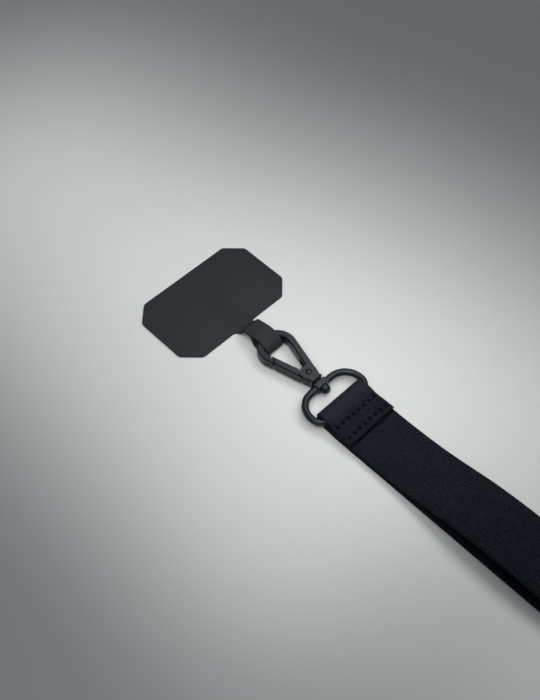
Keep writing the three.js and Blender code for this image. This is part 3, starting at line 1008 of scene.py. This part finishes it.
def stitches():
    bm = bmesh.new()
    half = STITCH_PITCH / 2
    radius = (half ** 2 + STITCH_RISE ** 2) / (2 * STITCH_RISE)
    reach = 2 * math.asin(half / radius)
    for back in STITCH_ROWS:
        place, up = web_route.at(back)
        surface = place - up * (WEB_BODY / 2)
        for i in range(STITCH_COUNT - 1):
            y = i * STITCH_PITCH - STITCH_SPAN / 2 + half
            made = bmesh.ops.create_circle(
                bm, segments=THREAD_SIDES, radius=THREAD_RADIUS, cap_ends=True,
            )
            verts = made["verts"]
            turned_up = Matrix.Rotation(math.pi / 2, 3, "X")
            bmesh.ops.rotate(bm, cent=(0, 0, 0), matrix=turned_up, verts=verts)
            top = Vector((surface.x, y, surface.y + THREAD_SHOW - THREAD_RADIUS))
            bmesh.ops.translate(bm, vec=top, verts=verts)
            below = top - Vector((0, 0, radius))
            start = Matrix.Rotation(-reach / 2, 3, "X")
            bmesh.ops.rotate(bm, cent=below, matrix=start, verts=verts)
            faces = list({f for v in verts for f in v.link_faces})
            bmesh.ops.spin(
                bm, geom=faces, cent=below, axis=(1, 0, 0), angle=reach, steps=ARCH_STEPS,
                use_duplicate=False,
            )
    bmesh.ops.recalc_face_normals(bm, faces=bm.faces)
    layer = bm.loops.layers.uv.new(MAP_NAME)
    for face in bm.faces:
        for spot in face.loops:
            spot[layer].uv = spot.vert.co.xy
    # Painted shade on the thread: darker the deeper it lies in the cloth.
    hole = bm.verts.layers.float.new(PAINTED_SHADE_NAME)
    for vert in bm.verts:
        depth = FLAP_Z + WEB_BODY / 2 - vert.co.z
        vert[hole] = min(max(depth / THREAD_SHADE_DEPTH, 0), 1)
    return piece("stitches", bm, "sling", "webbing", crisp=60)


stitches()


# %% [markdown]
# The studio is a pale table under two soft boxes that hang low, one on each side of the hook. So
# near a light, the table is bright below it and falls off to both sides, as in the photograph. A
# third box hangs over the far half of the loop, which the photograph doesn't reach. The world adds
# a ceiling and walls, with a dark band between them for the black metal's edges to reflect.

# %% The studio
FLOOR_SIZE = 12.0
FLOOR_DROP = 0.02 * MM
FLOOR_COLOUR = (0.646, 0.652, 0.642, 1)
FLOOR_ROUGH = 0.6
FLOOR_SHINE = 0.2
CEILING = 0.40
CEILING_FROM = 0.66
CEILING_TO = 0.78
FLAG = 0.015
WALLS = 0.3
WALLS_FROM = 0.2
WALLS_TO = 0.14
WORLD_COLOUR = (0.9, 0.95, 1.0, 1)
LIGHTS = (
    ("near_box", (0.001, -0.053, 0.158), (-0.034, -0.007, 0), (0.307, 0.138), 0.083, 60),
    ("near_strip", (0.100, 0.074, 0.140), (0.100, 0.027, 0), (0.265, 0.07), 0.089, 130),
    ("far_box", (0.56, 0.0, 0.45), (0.56, 0.0, 0), (0.5, 0.35), 0.42, 75),
)


def floor():
    bm = bmesh.new()
    bmesh.ops.create_grid(bm, x_segments=1, y_segments=1, size=FLOOR_SIZE / 2)
    bmesh.ops.translate(bm, vec=(0, 0, -FLOOR_DROP), verts=bm.verts)
    mesh = bpy.data.meshes.new("table")
    bm.to_mesh(mesh)
    bm.free()
    made = bpy.data.objects.new("table", mesh)
    finish = Finish("table")
    finish.surface({
        "Base Color": FLOOR_COLOUR,
        "Roughness": FLOOR_ROUGH,
        "Specular IOR Level": FLOOR_SHINE,
    })
    made.data.materials.append(finish.material)
    bpy.context.scene.collection.objects.link(made)


def soft_light(name, place, aim, size, power, spread):
    lamp = bpy.data.lights.new(name, "AREA")
    lamp.shape = "RECTANGLE"
    lamp.size, lamp.size_y = size
    lamp.energy = power
    lamp.spread = math.radians(spread)
    made = bpy.data.objects.new(name, lamp)
    made.location = place
    away = (Vector(place) - Vector(aim)).normalized()
    across = Vector((0, 1, 0)).cross(away).normalized()
    turn = Matrix((across, away.cross(across), away)).transposed()
    made.rotation_euler = turn.to_euler()
    made.visible_camera = False
    bpy.context.scene.collection.objects.link(made)


def surroundings():
    """Lights the world by how high a ray points: ceiling, dark band, and walls below it."""
    world = bpy.data.worlds.new("studio")
    world.use_nodes = True
    nodes = Nodes(world.node_tree)
    way = nodes.node("ShaderNodeTexCoord", {}, {}, "Generated")
    height = nodes.node("ShaderNodeSeparateXYZ", {}, {"Vector": way}, "Z")
    rising = {"Value": height, 1: CEILING_FROM, 2: CEILING_TO, 3: 0.0, 4: CEILING}
    falling = {"Value": height, 1: WALLS_FROM, 2: WALLS_TO, 3: FLAG, 4: WALLS}
    ceiling = nodes.node("ShaderNodeMapRange", {}, rising)
    walls = nodes.node("ShaderNodeMapRange", {}, falling)
    background = world.node_tree.nodes["Background"]
    background.inputs["Color"].default_value = WORLD_COLOUR
    nodes.feed(background.inputs["Strength"], ceiling + walls)
    bpy.context.scene.world = world


def studio():
    floor()
    for light in LIGHTS:
        soft_light(*light)
    surroundings()
    bpy.context.scene.view_settings.view_transform = "Standard"


studio()
